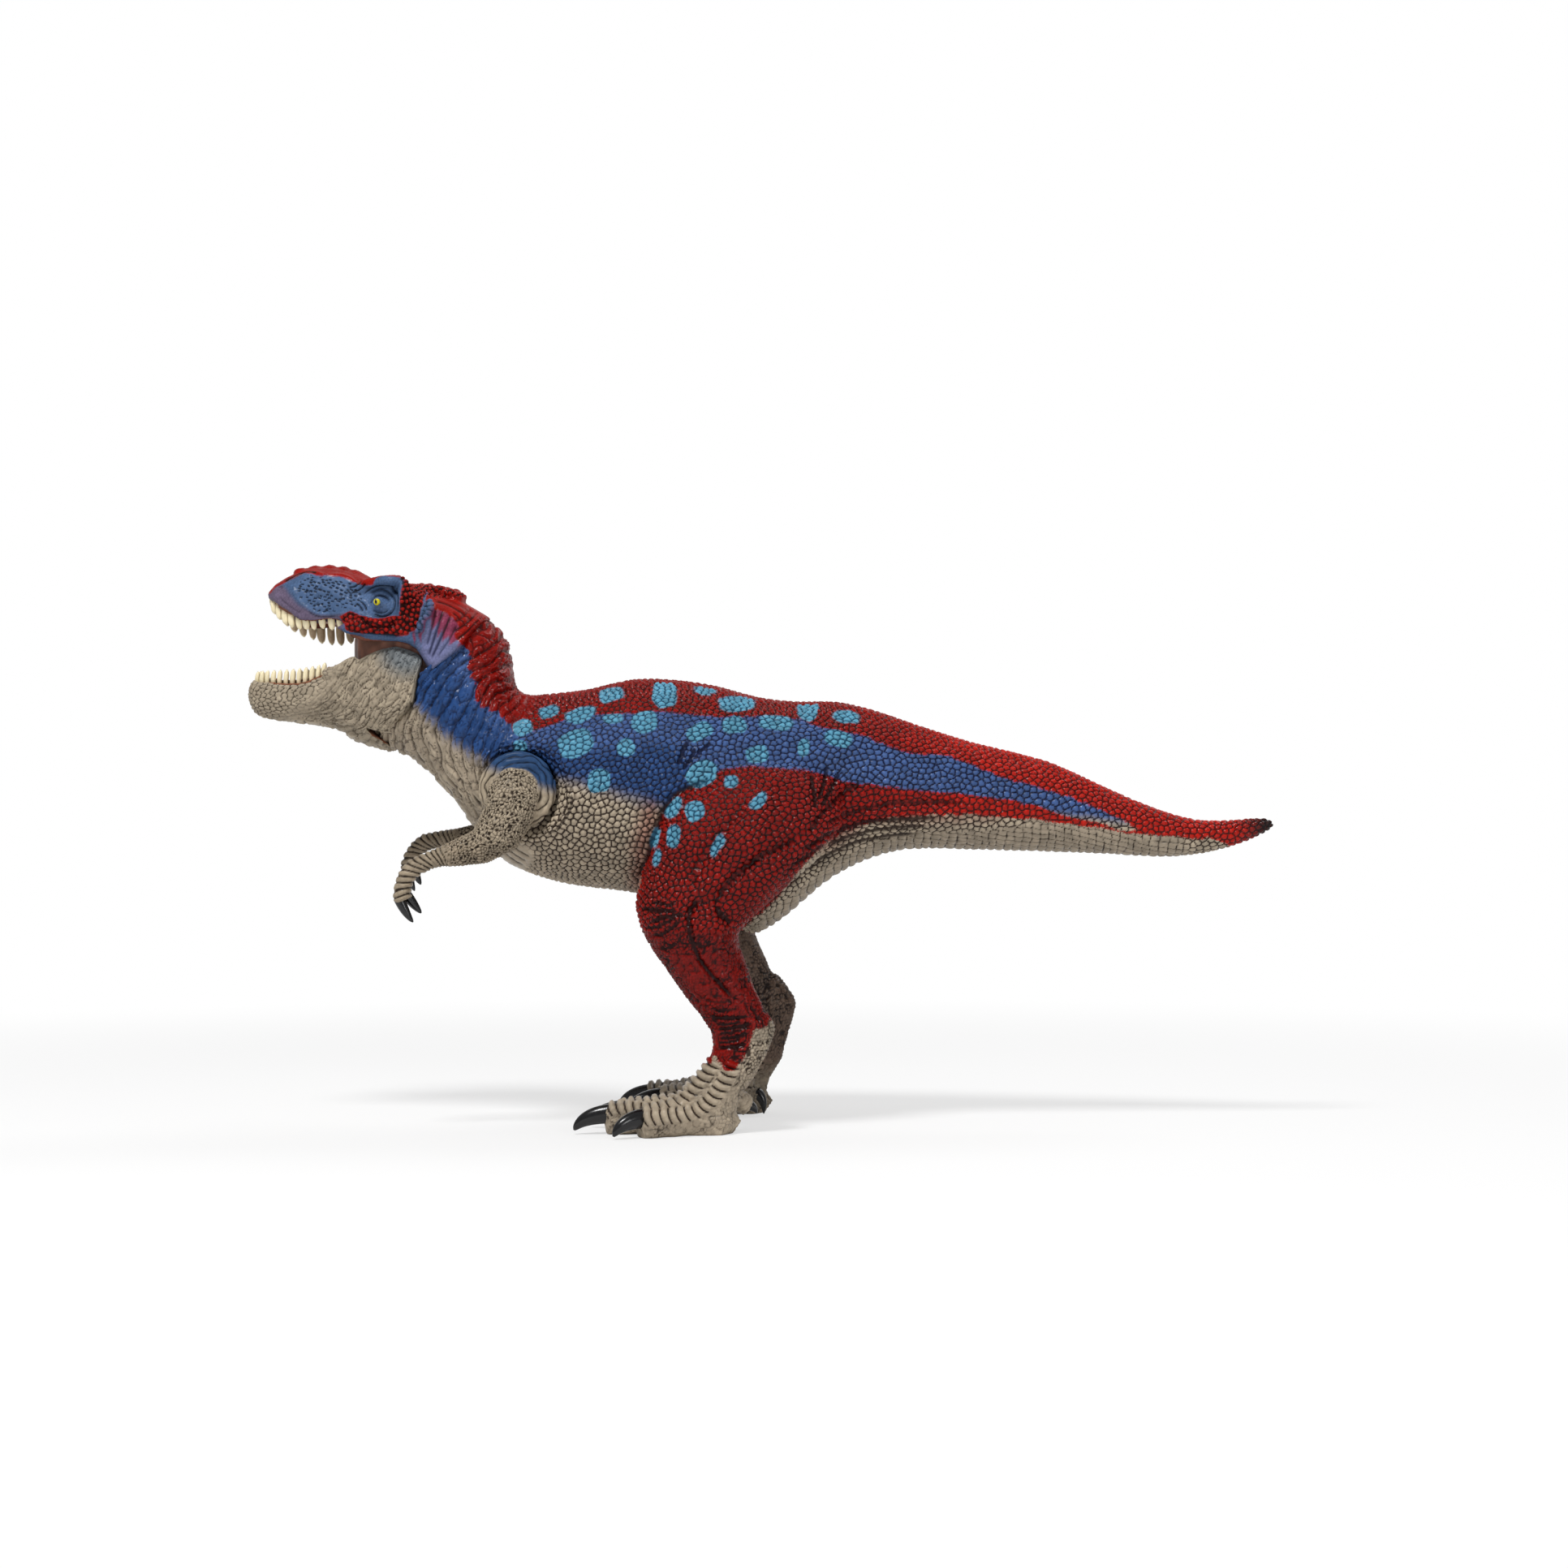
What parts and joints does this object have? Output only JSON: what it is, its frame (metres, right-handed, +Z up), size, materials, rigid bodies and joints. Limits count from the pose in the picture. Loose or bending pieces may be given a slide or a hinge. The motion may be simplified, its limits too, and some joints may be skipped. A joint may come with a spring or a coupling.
{
  "type": "toy dinosaur figure",
  "caption": "Standing two-legged meat-eating toy dinosaur in moulded vinyl, with a jaw that opens and closes and arms that swing at the shoulder.",
  "frame": {"origin": "middle of the bounding box at the ground plane that the soles stand on", "axes": "+X towards the tail tip, so the head points along -X; -Y is the figure's left side; +Z up"},
  "size_m": [0.2797, 0.0856, 0.153],
  "materials": {
    "red_vinyl": "satin",
    "blue_vinyl": "satin",
    "grey_vinyl": "satin",
    "flesh_vinyl": "satin",
    "ivory_vinyl": "gloss",
    "pin_plastic": "smooth"
  },
  "bodies": {
    "root": {"trunk": "red_vinyl", "head": "blue_vinyl", "mouth_core": "flesh_vinyl", "upper_teeth": "ivory_vinyl", "jaw_pivot_pin": "pin_plastic", "left_leg": "red_vinyl", "right_leg": "red_vinyl"},
    "jaw": {"lower_jaw": "grey_vinyl", "lower_mouth_lining": "flesh_vinyl", "lower_teeth": "ivory_vinyl"},
    "left_arm": {"left_arm": "grey_vinyl"},
    "right_arm": {"right_arm": "grey_vinyl"}
  },
  "joints": [
    {"name": "jaw_hinge", "type": "hinge", "parent": "root", "child": "jaw", "pos_m": [-0.09688, 0, 0.12292], "axis": [0, 1, 0], "range_deg": [0, 20]},
    {"name": "left_shoulder", "type": "hinge", "parent": "root", "child": "left_arm", "pos_m": [-0.06496, -0.0176, 0.08932], "axis": [0, 1, 0], "range_deg": [-20, 30]},
    {"name": "right_shoulder", "type": "hinge", "parent": "root", "child": "right_arm", "pos_m": [-0.06496, 0.0176, 0.08932], "axis": [0, 1, 0], "range_deg": [-29, 16]}
  ]
}
